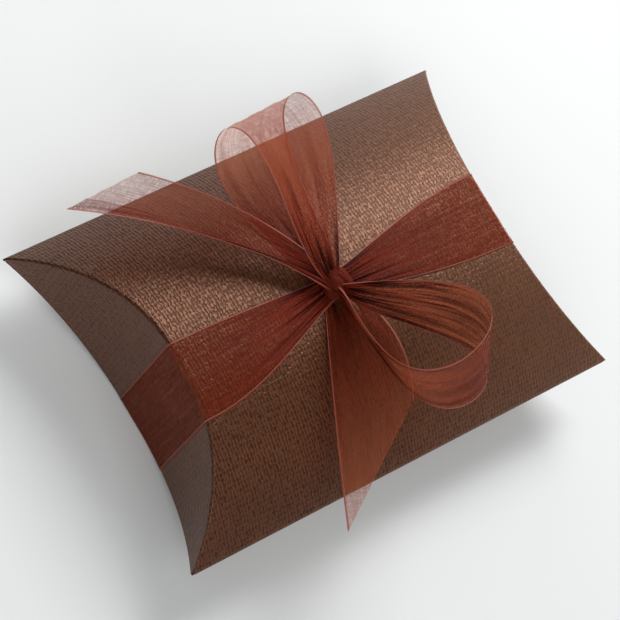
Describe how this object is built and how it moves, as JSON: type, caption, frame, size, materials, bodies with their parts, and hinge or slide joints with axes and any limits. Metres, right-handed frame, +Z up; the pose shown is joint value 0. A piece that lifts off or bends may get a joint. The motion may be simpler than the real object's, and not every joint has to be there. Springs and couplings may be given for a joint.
{
  "type": "favor box",
  "caption": "Pillow-shaped card favor box with curved closed ends, tied lengthwise with a sheer ribbon and a bow on top.",
  "frame": {"origin": "on the floor under the middle of the card box, at the middle of its flat underside", "axes": "+X along the box from its left closed end to its right one, +Y from the near folded edge to the far one, +Z up through the knot side"},
  "size_m": [0.098, 0.0741, 0.0501],
  "materials": {
    "card": "cocoa brown card embossed with a fine linen grain",
    "ribbon": "sheer rust brown organza with a woven selvedge"
  },
  "bodies": {
    "box": {"top_panel": "card", "bottom_panel": "card", "seam_tab": "card", "ribbon_base": "ribbon", "ribbon_left_turn": "ribbon", "ribbon_right_turn": "ribbon", "ribbon_left_arm": "ribbon", "ribbon_right_arm": "ribbon", "bow_knot": "ribbon", "upper_loop": "ribbon", "lower_loop": "ribbon", "upper_tail": "ribbon", "lower_tail": "ribbon"},
    "left_flap": {"left_outer_flap": "card", "ribbon_left_end": "ribbon"},
    "right_flap": {"right_outer_flap": "card", "ribbon_right_end": "ribbon"},
    "left_tuck": {"left_tuck_flap": "card"},
    "right_tuck": {"right_tuck_flap": "card"}
  },
  "joints": [
    {"name": "left_flap_hinge", "type": "hinge", "parent": "box", "child": "left_flap", "pos_m": [-0.03665, 0, 0.0265], "axis": [0, 1, 0], "range_deg": [0, 90], "deforming": ["ribbon_left_turn"]},
    {"name": "right_flap_hinge", "type": "hinge", "parent": "box", "child": "right_flap", "pos_m": [0.03665, 0, 0.0265], "axis": [0, -1, 0], "range_deg": [0, 90], "deforming": ["ribbon_right_turn"]},
    {"name": "left_tuck_hinge", "type": "hinge", "parent": "box", "child": "left_tuck", "pos_m": [-0.0364, 0, 0.00025], "axis": [0, -1, 0], "range_deg": [0, 54]},
    {"name": "right_tuck_hinge", "type": "hinge", "parent": "box", "child": "right_tuck", "pos_m": [0.0364, 0, 0.00025], "axis": [0, 1, 0], "range_deg": [0, 54]}
  ],
  "couplings": [
    {"joint": "left_tuck_hinge", "follows": "left_flap_hinge", "ratio": 0.6},
    {"joint": "right_tuck_hinge", "follows": "right_flap_hinge", "ratio": 0.6}
  ]
}
